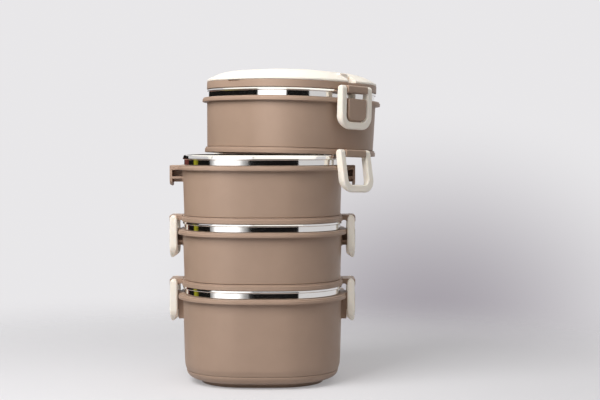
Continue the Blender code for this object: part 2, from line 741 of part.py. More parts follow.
def build_cap_and_handle(lid_frame):
    pivot_z = handle_pivot_z()
    under = CAP_Z - CUT_MARGIN
    over = CAP_Z + DOME_RISE + CUT_MARGIN
    inner = HALF - HANDLE_WIDTH
    bore_radius = HANDLE_PIN_RADIUS + GAP
    pin_in = inner - HANDLE_PIN_GRIP
    pin_out = inner + HANDLE_BOSS_LENGTH - HANDLE_PIN_END

    def pin_bores(bm):
        rod(bm, bore_radius, pin_in - GAP, pin_out + GAP, HANDLE_PIVOT_Y, pivot_z)

    cap = make_object("lid_cap", loft(dome_profile()), lid_frame, CREAM)
    cut = bmesh.new()
    plan_prism(cut, handle_plan(-HANDLE_WIDTH - GAP, CAP_END), under, over)
    combine(cap, make_object("lid_cap_handle_cut", cut, lid_frame), "DIFFERENCE")
    hollow = bmesh.new()
    plan_prism(hollow, outline(CAP_HOLLOW_REACH), under, CAP_Z + DOME_RISE - CAP_WALL)
    combine(cap, make_object("lid_cap_hollow", hollow, lid_frame), "DIFFERENCE")
    combine(cap, make_object("lid_cap_bores", mirrored_sides(pin_bores), lid_frame), "DIFFERENCE")

    hinge = make_frame("handle_hinge", Matrix.Translation((0, HANDLE_PIVOT_Y, pivot_z)), lid_frame)
    handle = make_object("carry_handle", loft(dome_profile()), hinge, CREAM)
    handle.matrix_local = Matrix.Translation((0, -HANDLE_PIVOT_Y, -pivot_z))
    region = bmesh.new()
    plan_prism(region, handle_plan(-HANDLE_WIDTH, HANDLE_END), under, over)
    keep = make_object("carry_handle_plan", region, lid_frame)
    combine(keep, make_object("carry_handle_bosses", mirrored_sides(handle_boss), lid_frame), "UNION")
    combine(handle, keep, "INTERSECT")
    combine(handle, make_object("carry_handle_bores", mirrored_sides(pin_bores), lid_frame), "DIFFERENCE")

    for side, word in ((-1, "left"), (1, "right")):
        bm = bmesh.new()
        rod(bm, HANDLE_PIN_RADIUS, side * pin_in, side * pin_out, 0.0, 0.0)
        pin = make_object(f"handle_{word}_pin", bm, lid_frame, PIN_FINISH)
        pin.location = (0.0, HANDLE_PIVOT_Y, pivot_z)


def build_lid(frame):
    build_lid_base(frame)
    build_seal("lid_seal", frame, LID_NEST + GAP)
    build_cap_and_handle(frame)
    build_latch_pair("lid", frame, LID_PIVOT_HEIGHT)


# Where the top tier comes to rest

def to_top_plan(point):
    """A plan point of the stack, in the turned and shifted plan of the top tier."""
    return Matrix.Rotation(-TOP_TURN, 2) @ (Vector(point) - TOP_SHIFT)


def top_frame_matrix():
    """The top tier lies on three points of the third tier's steel rim.

    Its skirt crosses the rim at two points, and it tips until the floor inside the skirt
    touches the rim at the point that lies farthest from the line between those two.
    """
    rim = outline(CROWN_REACH, RIM_SAMPLES)
    lip = (LIP_REACH + SKIRT_REACH) / 2
    reaches = [reach_of(*to_top_plan(point)) - lip for point in rim]
    crossings = []
    for i, point in enumerate(rim):
        j = (i + 1) % len(rim)
        if reaches[i] * reaches[j] <= 0 and reaches[i] != reaches[j]:
            share = reaches[i] / (reaches[i] - reaches[j])
            crossings.append(Vector(point).lerp(Vector(rim[j]), share))
    first, second = crossings[0], crossings[-1]
    line = (second - first).normalized()
    downhill = Vector((-line.y, line.x))
    if downhill.dot(TOP_SHIFT) < 0:
        downhill = -downhill
    inside = [Vector(point) for point, reach in zip(rim, reaches) if reach + lip < GROOVE_OUT]
    far_point = max(inside, key=lambda point: (point - first).dot(downhill))
    slope = NEST_DEPTH / (far_point - first).dot(downhill)
    normal = Vector((slope * downhill.x, slope * downhill.y, 1.0)).normalized()
    tip = Vector((0, 0, 1)).rotation_difference(normal).to_matrix().to_4x4()
    height = THIRD_Z + RIM_TOP + GAP - slope * (TOP_SHIFT - first).dot(downhill)
    place = Matrix.Translation((TOP_SHIFT.x, TOP_SHIFT.y, height))
    return place @ tip @ Matrix.Rotation(TOP_TURN, 4, "Z")


def arm_touches(point, swing):
    """Whether a point in the latch's plane, seen from its hinge, lies within the gap round a swung arm."""
    arm = Vector((math.sin(swing), -math.cos(swing)))
    run = max(0.0, point.dot(arm))
    share = min(1.0, run / (LATCH_DROP - LATCH_CORNER))
    half = LATCH_THICKNESS / 2 * (ARM_TOP_SLIM + (1 - ARM_TOP_SLIM) * share)
    return (point - arm * run).length < half + GAP


def hanging_swing(matrix, side):
    """Angle at which a loose loop of the top tier leans out against the third tier's flange and rim."""
    steps = [
        (FLANGE_REACH, FLANGE_Z),
        (FLANGE_REACH, FLANGE_Z + FLANGE_STEP_HEIGHT),
        (FLANGE_STEP_REACH, FLANGE_TOP),
        (BEAD_REACH, BEAD_Z + BEAD_HEIGHT * BEAD_HIGH),
        (BEAD_REACH - BEAD_SHOULDER, RIM_TOP - BEAD_CROWN),
    ]
    back = matrix.inverted()
    near = []
    for reach, z in steps:
        for x, y in outline(reach, RIM_SAMPLES):
            point = back @ Vector((x, y, THIRD_Z + z))
            if side * point.x > 0 and WINDOW_HALF - GAP < abs(point.y) < LATCH_WIDTH / 2 - LATCH_EDGE + GAP:
                near.append(Vector((side * point.x - PIVOT_X, point.z - PIVOT_HEIGHT)))
    swing = 0.0
    while swing < SWING_LIMIT and any(arm_touches(point, swing) for point in near):
        swing += SWING_STEP
    return swing


def main():
    clear_scene()
    bottom = make_frame("bottom_frame", Matrix.Translation((0, 0, BOTTOM_Z)))
    second = make_frame("second_frame", Matrix.Translation((0, 0, SECOND_Z)))
    third = make_frame("third_frame", Matrix.Translation((0, 0, THIRD_Z)))
    top_matrix = top_frame_matrix()
    top = make_frame("top_frame", top_matrix)
    lid = make_frame("lid_frame", Matrix.Translation((0, 0, LID_Z)), top)

    build_bottom_tier(bottom)
    build_upper_tier("second", second, PITCH + PIVOT_HEIGHT)
    build_upper_tier("third", third, PITCH + PIVOT_HEIGHT)
    swings = (hanging_swing(top_matrix, -1), hanging_swing(top_matrix, 1))
    build_upper_tier("top", top, LID_Z + LID_PIVOT_HEIGHT, swings)
    build_lid(lid)


main()
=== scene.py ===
"""Looks of the stacking bento box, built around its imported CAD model.

Sections and plans are in millimetres, in the frame of a tier (z is 0 at the lower edge of its skirt).
The finished meshes lie in the shared frame of the CAD, in metres.
"""

import json
import math

import bmesh
import bpy
from mathutils import Matrix, Vector


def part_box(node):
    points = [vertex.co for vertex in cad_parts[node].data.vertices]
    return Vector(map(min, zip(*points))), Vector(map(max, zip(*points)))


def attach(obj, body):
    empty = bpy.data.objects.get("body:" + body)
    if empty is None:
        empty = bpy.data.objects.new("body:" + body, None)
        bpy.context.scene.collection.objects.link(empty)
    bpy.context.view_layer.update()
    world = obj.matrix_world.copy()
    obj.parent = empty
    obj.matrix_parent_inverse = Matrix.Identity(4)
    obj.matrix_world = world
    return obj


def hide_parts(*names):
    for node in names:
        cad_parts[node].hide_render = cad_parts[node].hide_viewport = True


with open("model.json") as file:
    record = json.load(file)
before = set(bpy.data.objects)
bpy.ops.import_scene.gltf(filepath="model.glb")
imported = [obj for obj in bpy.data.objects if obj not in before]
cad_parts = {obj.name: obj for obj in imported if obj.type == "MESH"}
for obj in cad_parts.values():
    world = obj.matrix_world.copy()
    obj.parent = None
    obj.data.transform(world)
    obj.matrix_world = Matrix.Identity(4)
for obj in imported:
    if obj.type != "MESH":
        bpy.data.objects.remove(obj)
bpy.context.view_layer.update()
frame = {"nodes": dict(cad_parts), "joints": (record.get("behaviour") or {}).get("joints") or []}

MM = 0.001

# Sizes of the CAD model: the body outline, and the play between pieces
HALF = 71.0
SIDE_RADIUS = 260.0
CORNER_RADIUS = 55.0
GAP = 0.3
HOOK_GAP = 0.6
SIDE_PLAY = 0.4

# Heights of a tier's sections, from its skirt up to its steel rim
SKIRT_HEIGHT = 5.0
SKIRT_STEP_HEIGHT = 3.6
WALL_HEIGHT = 40.4
FLANGE_HEIGHT = 3.9
FLANGE_STEP_HEIGHT = 2.6
BAND_HEIGHT = 5.1
BEAD_HEIGHT = 4.2
NEST_DEPTH = 2.0

# Walls, and how far each form stands out from the outline
WALL_DRAFT = 1.2
WALL_THICKNESS = 2.2
FLANGE_REACH = 4.2
FLANGE_STEP_REACH = 3.5
SKIRT_REACH = 0.9
SKIRT_STEP_REACH = 0.1
LIP_REACH = 0.4
BAND_REACH = -1.2
BEAD_REACH = 0.1
BEAD_SHOULDER = 0.9

# Steel liner and seal
STEEL = 0.6
LINER_AIR = 0.8
LINER_DRAFT = 1.6
LINER_CORNER = 9.0
LINER_FLOOR_AIR = 2.0
LINER_PANEL_REACH = -28.0
LINER_PANEL_RISE = 0.7
LINER_PANEL_SLOPE = 1.2
SEAL_WIDTH = 2.7
SEAL_HEIGHT = 1.6

# Recessed panel under an upper tier
PANEL_RING = 6.0
PANEL_SLOPE = 1.0
PANEL_RECESS = 0.7

# Lower end of the bottom tier
BASE_LINE_HEIGHT = 11.5
BASE_ROUND_TOP = 24.0
BASE_EDGE_HEIGHT = 3.9
BASE_EDGE_REACH = -12.5
BASE_LINE_REACH = -3.0
BASE_THICKNESS = 2.0
BASE_INSIDE_RUN = 0.6
BASE_INSIDE_RISE = 0.16
BASE_ROUND = 20.0
BASE_BULGE = 0.5
BASE_BULGE_SHARE = 0.36
BASE_BULGE_ROUND = 12.0
FOOT_REACH = -16.5
FOOT_SLOPE = 1.5
FOOT_WIDTH = 6.0
FOOT_RECESS = 0.8

# Loop latch, with its hinge
PIVOT_REACH = 7.9
PIVOT_HEIGHT = 1.4
LATCH_WIDTH = 38.8
LATCH_ARM = 6.5
LATCH_THICKNESS = 7.0
LATCH_DROP = 34.6
LATCH_BAR = 6.6
LATCH_CORNER = 11.5
LATCH_WINDOW_CORNER = 6.0
LATCH_EDGE = 0.9
LATCH_SOFTNESS = 0.7
ARM_TOP_ANGLES = (80, 70, 58, 44, 28, 12, 0)
ARM_TOP_SLIM = 0.92
ARM_TOP_NARROW = 0.55
ARM_TOP_POWER = 5
ARM_TOP_INNER = 0.3
BAR_SET_BACK = 0.4
HOOK_RELIEF = 4.1
HOOK_RELIEF_RUN = 0.4
WEDGE = 4.3
WEDGE_RUN = 0.5
PIN_RADIUS = 1.0
PIN_COVER = 1.9
KNUCKLE_TOP = 3.5
KNUCKLE_DROP = 3.2
KNUCKLE_END = 4.0
KNUCKLE_ROUND = 1.5
KNUCKLE_ROOT = 0.15
KNUCKLE_STEP = 2.0
KNUCKLE_SET_DOWN = 0.1

# Lug that a latch hooks under
LUG_WIDTH = 22.0
LUG_PLATE = 2.2
LUG_PLATE_REACH = 11.8
LUG_PLATE_CORNER = 5.0
LUG_PLATE_RELIEF = 1.0
LUG_DEPTH = 11.2
LUG_WEB = 2.0
LUG_RIB = 2.0
LUG_RIB_DROP = 6.2
LUG_ROOT = 0.75
BOTTOM_LUG_DEPTH = 19.7
BOTTOM_LUG_REACH = 4.0

# Lid
LID_NEST = 1.4
LID_RIM_HEIGHT = 6.4
LID_RIM_REACH = 0.45
LID_PLATE = 2.2
LID_WELL_REACH = -7.0
LID_PIVOT_HEIGHT = -0.25
NOTCH_WIDTH = 15.0
NOTCH_HEIGHT = 1.1
NOTCH_DEPTH = 2.6
CAP_REACH = 0.35
CAP_WALL = 3.0
CAP_HOLLOW_REACH = -26.0
CAP_END = 9.0
DOME_EDGE = 1.6
DOME_RISE = 10.75
DOME_RUN = 34.0
DOME_POWER = 2.4
DOME_INSET = 2.0
SLOT_INSET = 1.2

# Handle
HANDLE_WIDTH = 15.0
HANDLE_END = -0.5
HANDLE_PIVOT_Y = 4.0
HANDLE_BOSS_RADIUS = 4.1
HANDLE_BOSS_LENGTH = 7.0
HANDLE_BOSS_ROOT = 2.0
HANDLE_BOSS_PLAY = 0.05
HANDLE_PIN_RADIUS = 1.2
HANDLE_PIN_GRIP = 6.0
HANDLE_PIN_END = 1.5

# Worked-out places
SIDE_CENTRE = SIDE_RADIUS - HALF
CORNER_CENTRE = (math.sqrt(2 * (SIDE_RADIUS - CORNER_RADIUS) ** 2 - SIDE_CENTRE ** 2) - SIDE_CENTRE) / 2
SIDE_ANGLE = math.atan2(CORNER_CENTRE, CORNER_CENTRE + SIDE_CENTRE)
FLANGE_Z = SKIRT_HEIGHT + WALL_HEIGHT
FLANGE_TOP = FLANGE_Z + FLANGE_HEIGHT
BEAD_Z = FLANGE_TOP + BAND_HEIGHT
RIM_TOP = BEAD_Z + BEAD_HEIGHT
PITCH = RIM_TOP + GAP - NEST_DEPTH
PAN_REACH = -(WALL_THICKNESS + LINER_AIR)
CROWN_REACH = BAND_REACH - STEEL / 2
GROOVE_OUT = CROWN_REACH + SEAL_WIDTH / 2 + GAP
GROOVE_IN = CROWN_REACH - SEAL_WIDTH / 2 - GAP
PIVOT_X = HALF + PIVOT_REACH
WINDOW_HALF = LATCH_WIDTH / 2 - LATCH_ARM
HOOK_Z = LATCH_DROP - LATCH_BAR
LUG_FACE_X = HALF + LUG_PLATE_REACH
LID_Z = RIM_TOP - LID_NEST
CAP_Z = LID_RIM_HEIGHT + GAP
HANDLE_PIVOT_Z = CAP_Z + HANDLE_BOSS_RADIUS

# Fineness of the visible meshes
SIDE_STEPS, CORNER_STEPS, ARC_STEPS, ROUND_STEPS, CIRCLE_STEPS = 4, 16, 10, 12, 16
SHARP = math.radians(38)
ROUND_SHARE = 0.49
NEAR = 0.01

# Reach where a section ends in a flat face round the middle, and where a liner's satin side starts
MIDDLE, LINER_MIDDLE = -46.0, -48.0
SATIN_AFTER_CROWN = 4


def plan_points():
    """(point, outward normal) pairs round the body outline, counter-clockwise from +X."""
    local = []
    for i in range(SIDE_STEPS):
        angle = SIDE_ANGLE * i / SIDE_STEPS
        turn = Vector((math.cos(angle), math.sin(angle)))
        local.append((turn * SIDE_RADIUS - Vector((SIDE_CENTRE, 0)), turn))
    for i in range(CORNER_STEPS + 1):
        angle = SIDE_ANGLE + (math.pi / 2 - 2 * SIDE_ANGLE) * i / CORNER_STEPS
        turn = Vector((math.cos(angle), math.sin(angle)))
        local.append((turn * CORNER_RADIUS + Vector((CORNER_CENTRE, CORNER_CENTRE)), turn))
    for i in range(SIDE_STEPS - 1, 0, -1):
        point, turn = local[i]
        local.append((Vector((point.y, point.x)), Vector((turn.y, turn.x))))
    points = []
    for quarter in range(4):
        spin = Matrix.Rotation(quarter * math.pi / 2, 2)
        points += [(spin @ point, spin @ turn) for point, turn in local]
    return points


PLAN = plan_points()


def rounded(corners, closed=False, steps=3):
    """Round the (a, b, radius) corners of a section; a fourth value sets a corner's steps.

    A round takes at most ROUND_SHARE of the sides next to it.
    """
    points = []
    count = len(corners)
    for i, corner in enumerate(corners):
        here, radius = Vector(corner[:2]), corner[2]
        if radius == 0 or (not closed and i in (0, count - 1)):
            points.append(tuple(here))
            continue
        to_last = Vector(corners[i - 1][:2]) - here
        to_next = Vector(corners[(i + 1) % count][:2]) - here
        half = to_last.angle(to_next) / 2
        run = min(radius / math.tan(half), ROUND_SHARE * to_last.length, ROUND_SHARE * to_next.length)
        radius = run * math.tan(half)
        inwards = (to_last.normalized() + to_next.normalized()).normalized()
        centre = here + inwards * radius / math.sin(half)
        start = here + to_last.normalized() * run - centre
        end = here + to_next.normalized() * run - centre
        sweep = start.angle(end)
        parts = corner[3] if len(corner) > 3 else steps
        for part in range(parts + 1):
            share = part / parts
            spoke = start * math.sin((1 - share) * sweep) + end * math.sin(share * sweep)
            points.append(tuple(centre + spoke / math.sin(sweep)))
    return points


def arc(centre, radius, start, end, steps):
    """Points on an arc, angles in degrees."""
    angles = [math.radians(start + (end - start) * i / steps) for i in range(steps + 1)]
    return [(centre[0] + radius * math.cos(a), centre[1] + radius * math.sin(a)) for a in angles]


def circle(centre, radius):
    """Points on a whole circle."""
    return arc(centre, radius, 0, 360 - 360 / CIRCLE_STEPS, CIRCLE_STEPS - 1)


def bridge(bm, rings, closed, second=None):
    """Quads between rings of vertices, with capped ends; second lists the steps of the second material."""
    pairs = list(zip(rings, rings[1:]))
    if closed:
        pairs.append((rings[-1], rings[0]))
    for step, (low, high) in enumerate(pairs):
        for i in range(len(low)):
            j = (i + 1) % len(low)
            face = bm.faces.new((low[i], low[j], high[j], high[i]))
            if second and step in second:
                face.material_index = 1
    if not closed:
        for ring, step in ((rings[0], 0), (rings[-1], len(pairs) - 1)):
            face = bm.faces.new(ring)
            if second and step in second:
                face.material_index = 1


def to_mesh(bm):
    """Finish a mesh under work, with its faces turned outwards."""
    bmesh.ops.recalc_face_normals(bm, faces=bm.faces)
    mesh = bpy.data.meshes.new("shape")
    bm.to_mesh(mesh)
    bm.free()
    return mesh


def loft(section, closed=False, second=None):
    """The body outline carried through (reach, z) pairs."""
    bm = bmesh.new()
    rings = [[bm.verts.new((*(p + n * reach), z)) for p, n in PLAN] for reach, z in section]
    bridge(bm, rings, closed, second)
    return to_mesh(bm)


def bevel_where(bm, chosen, width, segments=3):
    """Round the sharp edges that pass a test, in a mesh under work."""
    edges = [e for e in bm.edges if e.is_manifold and chosen(e) and e.calc_face_angle(0) > SHARP]
    bmesh.ops.bevel(bm, geom=edges, offset=width, segments=segments, profile=0.5, affect="EDGES",
                    clamp_overlap=True)


def prism(corners, shift, edge=0.0):
    """A flat polygon of 3-D corners carried along the shift, its edges rounded by the width of edge."""
    bm = bmesh.new()
    shift = Vector(shift)
    start = [bm.verts.new(corner) for corner in corners]
    end = [bm.verts.new(Vector(corner) + shift) for corner in corners]
    bridge(bm, [start, end], False)
    if edge:
        bmesh.ops.recalc_face_normals(bm, faces=bm.faces)
        bevel_where(bm, lambda e: True, edge)
    return to_mesh(bm)


def bar(section, low, high, edge=0.0):
    """An (x, z) section carried along Y."""
    return prism([(x, low, z) for x, z in section], (0, high - low, 0), edge)


def rod_y(radius, half_length, x, z):
    """A round rod along Y, for the holes of the hinge pins."""
    return bar(circle((x, z), radius), -half_length, half_length)


def add_object(name, data):
    """A new object in the scene."""
    obj = bpy.data.objects.new(name, data)
    bpy.context.scene.collection.objects.link(obj)
    return obj


def combine(mesh, tool, operation):
    """Exact Boolean of two meshes; the tool is used up."""
    objs = [add_object("work", item) for item in (mesh, tool)]
    modifier = objs[0].modifiers.new("combine", "BOOLEAN")
    modifier.operation, modifier.solver, modifier.object = operation, "EXACT", objs[1]
    result = bpy.data.meshes.new_from_object(objs[0].evaluated_get(bpy.context.evaluated_depsgraph_get()))
    for obj in objs:
        bpy.data.objects.remove(obj)
    bpy.data.meshes.remove(tool)
    return result


def reshaped(mesh, matrix):
    """A moved, turned or mirrored copy of a mesh."""
    copy = mesh.copy()
    copy.transform(matrix)
    if matrix.determinant() < 0:
        copy.flip_normals()
    return copy


HALF_TURN = Matrix.Rotation(math.pi, 4, "Z")
MIRROR = Matrix.Diagonal((-1, 1, 1, 1))


def on_both(mesh, tool, operation, other=HALF_TURN):
    """A tool used at +X, and again turned or mirrored to -X."""
    twin = reshaped(tool, other)
    return combine(combine(mesh, tool, operation), twin, operation)


# Places of the tiers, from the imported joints

joints = {joint["name"]: joint for joint in frame["joints"]}


def tier_place(prefix, up, pivot_height):
    """Frame of a tier or the lid, from the hinges of its two latches."""
    right = Vector(joints[prefix + "_right_latch_hinge"]["pos_m"])
    left = Vector(joints[prefix + "_left_latch_hinge"]["pos_m"])
    up = Vector(up).normalized()
    y = up.cross(right - left).normalized()
    x = y.cross(up)
    turn = Matrix((x, y, up)).transposed().to_4x4()
    return Matrix.Translation((right + left) / 2 - up * pivot_height * MM) @ turn @ Matrix.Scale(MM, 4)


TIPPED = joints["lift_lid"]["axis"]
UPRIGHT = (0, 0, 1)
BOTTOM_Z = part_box("bottom_liner")[1].z / MM - RIM_TOP
PLACES = {
    "bottom": Matrix.Translation((0, 0, BOTTOM_Z * MM)) @ Matrix.Scale(MM, 4),
    "second": tier_place("second", UPRIGHT, PIVOT_HEIGHT),
    "third": tier_place("third", UPRIGHT, PIVOT_HEIGHT),
    "top": tier_place("top", TIPPED, PIVOT_HEIGHT),
    "lid": tier_place("lid", TIPPED, LID_PIVOT_HEIGHT),
}


def latch_lean(prefix, side):
    """How far a latch of the CAD hangs out from its tier, as an angle about its hinge."""
    node = f"{prefix}_{'right' if side > 0 else 'left'}_latch"
    mesh = frame["nodes"][node].data
    mean = sum((v.co for v in mesh.vertices), Vector()) / len(mesh.vertices)
    place = PLACES[prefix].inverted() @ mean
    height = LID_PIVOT_HEIGHT if prefix == "lid" else PIVOT_HEIGHT
    return math.atan2(side * place.x - PIVOT_X, height - place.z)


# Materials

NOISE_RANGE = (0.3, 0.7)


def new_material(name, colour, roughness, metallic=0.0):
    """A material with its nodes, links and main shader."""
    material = bpy.data.materials.new(name)
    material.use_nodes = True
    nodes, links = material.node_tree.nodes, material.node_tree.links
    shader = nodes["Principled BSDF"]
    shader.inputs["Base Color"].default_value = (*colour, 1)
    shader.inputs["Roughness"].default_value = roughness
    shader.inputs["Metallic"].default_value = metallic
    return material, nodes, links, shader


def noise(nodes, links, scale, detail, stretch=(1, 1, 1)):
    """Noise through the solid, with scale features to the metre."""
    coords = nodes.new("ShaderNodeTexCoord")
    mapping = nodes.new("ShaderNodeMapping")
    mapping.inputs["Scale"].default_value = stretch
    texture = nodes.new("ShaderNodeTexNoise")
    texture.inputs["Scale"].default_value = scale
    texture.inputs["Detail"].default_value = detail
    links.new(coords.outputs["Object"], mapping.inputs["Vector"])
    links.new(mapping.outputs["Vector"], texture.inputs["Vector"])
    return texture.outputs["Fac"]


def ranged(nodes, links, value, source=(0, 1), target=(0, 1), curve="LINEAR"):
    """Carry a value from one range onto another."""
    node = nodes.new("ShaderNodeMapRange")
    node.interpolation_type = curve
    for word, ends in (("From", source), ("To", target)):
        node.inputs[word + " Min"].default_value, node.inputs[word + " Max"].default_value = ends
    links.new(value, node.inputs["Value"])
    return node.outputs["Result"]


def vector_step(nodes, links, operation, value, constant=None):
    """One step of arithmetic on a vector, with a constant where it needs one."""
    node = nodes.new("ShaderNodeVectorMath")
    node.operation = operation
    links.new(value, node.inputs[0])
    if constant is not None:
        node.inputs[1].default_value = constant
    return node.outputs["Value" if operation == "LENGTH" else "Vector"]


def tint(nodes, links, value, colour, low, high):
    """A colour whose brightness follows a noise value."""
    ramp = nodes.new("ShaderNodeValToRGB")
    dark, bright = ramp.color_ramp.elements
    dark.position, bright.position = NOISE_RANGE
    dark.color = (*[c * low for c in colour], 1)
    bright.color = (*[min(1.0, c * high) for c in colour], 1)
    links.new(value, ramp.inputs["Fac"])
    return ramp.outputs["Color"]


def bump(nodes, links, height, distance, strength, below=None):
    """Fine relief from a height; distance is in metres, and below is the relief that it lies on."""
    node = nodes.new("ShaderNodeBump")
    node.inputs["Distance"].default_value = distance
    node.inputs["Strength"].default_value = strength
    links.new(height, node.inputs["Height"])
    if below is not None:
        links.new(below, node.inputs["Normal"])
    return node.outputs["Normal"]


def moulded_plastic(name, colour, roughness, grain, depth=0.0, glow=0.0):
    """Injection-moulded plastic: a fine spark-eroded skin over slow waves and faint mottling.

    depth lets light into the translucent wall; glow is painted light, emission lifting its shaded sides.
    """
    material, nodes, links, shader = new_material(name, colour, roughness)
    mottle = noise(nodes, links, scale=45, detail=4)
    links.new(tint(nodes, links, mottle, colour, low=0.965, high=1.03), shader.inputs["Base Color"])
    skin = noise(nodes, links, scale=1900, detail=2)
    patches = noise(nodes, links, scale=110, detail=5)
    gloss = ranged(nodes, links, patches, NOISE_RANGE, (roughness - 0.05, roughness + 0.06))
    links.new(gloss, shader.inputs["Roughness"])
    swell = noise(nodes, links, scale=60, detail=1)
    waves = bump(nodes, links, swell, distance=0.00012, strength=0.12)
    relief = bump(nodes, links, skin, distance=0.00003, strength=grain, below=waves)
    links.new(relief, shader.inputs["Normal"])
    # Painted light: an even emission that brightens the shaded sides
    shader.inputs["Emission Color"].default_value = (*colour, 1)
    shader.inputs["Emission Strength"].default_value = glow
    shader.inputs["Subsurface Weight"].default_value = depth
    shader.inputs["Subsurface Radius"].default_value = (0.004, 0.003, 0.002)
    shader.inputs["Subsurface Scale"].default_value = 0.4
    return material


def pressed_steel(name, colour, roughness, stretch, scratch):
    """Rolled and pressed steel: streaks squeezed by the stretch set its relief and its roughness range."""
    material, nodes, links, shader = new_material(name, colour, roughness[0], metallic=1.0)
    streaks = noise(nodes, links, scale=260, detail=6, stretch=stretch)
    links.new(ranged(nodes, links, streaks, NOISE_RANGE, roughness), shader.inputs["Roughness"])
    mottle = noise(nodes, links, scale=30, detail=3)
    links.new(tint(nodes, links, mottle, colour, low=0.97, high=1.02), shader.inputs["Base Color"])
    swell = noise(nodes, links, scale=25, detail=1)
    waves = bump(nodes, links, swell, distance=0.0004, strength=0.06)
    relief = bump(nodes, links, streaks, distance=0.00002, strength=scratch, below=waves)
    links.new(relief, shader.inputs["Normal"])
    return material


TAUPE = moulded_plastic("taupe_plastic", (0.405, 0.278, 0.203), roughness=0.48, grain=0.5)
# The cream's glow is painted light, an emission that brightens its shaded sides
CREAM = moulded_plastic("cream_plastic", (0.88, 0.815, 0.715), 0.36, grain=0.25, depth=0.12, glow=0.1)
SILICONE = moulded_plastic("seal_silicone", (0.80, 0.79, 0.76), 0.55, grain=0.2, depth=0.2)
BAND_STEEL = pressed_steel("polished_steel", (0.74, 0.73, 0.71), (0.05, 0.11), (1, 1, 9), scratch=0.12)
PAN_STEEL = pressed_steel("satin_steel", (0.70, 0.69, 0.67), (0.2, 0.32), (1, 1, 0.06), scratch=0.5)
PIN_STEEL = pressed_steel("pin_steel", (0.62, 0.61, 0.60), (0.18, 0.3), (0.2, 0.2, 3), scratch=0.4)
SLOT_LOOKS = {
    "taupe_plastic": [TAUPE],
    "cream_plastic": [CREAM],
    "liner_steel": [BAND_STEEL, PAN_STEEL],
    "seal_silicone": [SILICONE],
}


# Pieces

def show(node, mesh, place, body, slot):
    """Place a fine mesh in the shared frame, in the stead of its CAD node."""
    mesh = reshaped(mesh, place)
    mesh.materials.clear()
    for look in SLOT_LOOKS[slot]:
        mesh.materials.append(look)
    mesh.shade_smooth()
    mesh.set_sharp_from_angle(angle=SHARP)
    obj = add_object(node + "_fine", mesh)
    normals = obj.modifiers.new("even_normals", "WEIGHTED_NORMAL")
    normals.keep_sharp = True
    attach(obj, body)
    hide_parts(node)


def liner_mesh(floor_z):
    """Pressed liner: a rolled bead over a polished band outside, satin inside, and a panel in the floor."""
    foot = PAN_REACH - LINER_DRAFT
    ledge = FLANGE_TOP + GAP
    inner = BAND_REACH - STEEL
    outside = rounded([
        (LINER_MIDDLE, floor_z, 0), (foot, floor_z, LINER_CORNER, 6), (PAN_REACH, ledge, 0.2),
        (BAND_REACH, ledge, 0.35), (BAND_REACH, BEAD_Z, 0.25), (BEAD_REACH, BEAD_Z + 0.3, 0.7, 5),
        (BEAD_REACH, BEAD_Z + 1.0, 0.9, 5), (BEAD_REACH - BEAD_SHOULDER, RIM_TOP - 0.6, 1.8, 6),
        (CROWN_REACH, RIM_TOP, 0.8, 5), (inner - 0.1, RIM_TOP - 0.3, 0.6, 5), (inner, RIM_TOP - 1.6, 0.8),
    ])
    low = floor_z + STEEL
    panel = low + LINER_PANEL_RISE
    inside = rounded([
        (inner, RIM_TOP - 1.7, 0), (inner, ledge + STEEL, 0.5), (PAN_REACH - STEEL, ledge + STEEL, 0.9),
        (foot - STEEL, low, LINER_CORNER, 8), (LINER_PANEL_REACH, low, 0.8),
        (LINER_PANEL_REACH - LINER_PANEL_SLOPE, panel, 0.8), (MIDDLE, panel, 0),
    ])
    section = outside + inside
    crown = max(range(len(section)), key=lambda i: (section[i][1], section[i][0]))
    satin = set(range(crown + SATIN_AFTER_CROWN, len(section)))
    return loft(section, second=satin)


def lug_plate(hook_z):
    """The upright plate of a lug: round lower corners, and an underside sloped along the hook's path."""
    top, half, corner = FLANGE_TOP - GAP, LUG_WIDTH / 2, LUG_PLATE_CORNER

    def side_view(low):
        lower = arc((half - corner, low + corner), corner, 0, -90, steps=8)
        lower += arc((corner - half, low + corner), corner, -90, -180, steps=8)
        return [(half, top)] + lower + [(-half, top)]

    bm = bmesh.new()
    inner = [bm.verts.new((LUG_FACE_X - LUG_PLATE, y, z)) for y, z in side_view(hook_z)]
    outer = [bm.verts.new((LUG_FACE_X, y, z)) for y, z in side_view(hook_z + LUG_PLATE_RELIEF)]
    bridge(bm, [inner, outer], False)
    bmesh.ops.recalc_face_normals(bm, faces=bm.faces)
    bevel_where(bm, lambda e: all(v.co.x > LUG_FACE_X - NEAR for v in e.verts), width=0.5)
    return to_mesh(bm)


def lug_block(low_z, step=None):
    """The body of a lug; step is the reach and the lower end of a deeper part next to the wall."""
    top, buried = FLANGE_TOP - GAP, HALF - LUG_ROOT * WALL_THICKNESS
    bar_x = LUG_FACE_X - LUG_PLATE / 2
    section = [(buried, top), (buried, low_z), (bar_x, low_z), (bar_x, top)]
    if step:
        reach, deep_z = step
        section[1:2] = [(buried, deep_z), (HALF + reach, deep_z), (HALF + reach, low_z)]
    return bar(section, -LUG_WIDTH / 2, LUG_WIDTH / 2, edge=0.3)


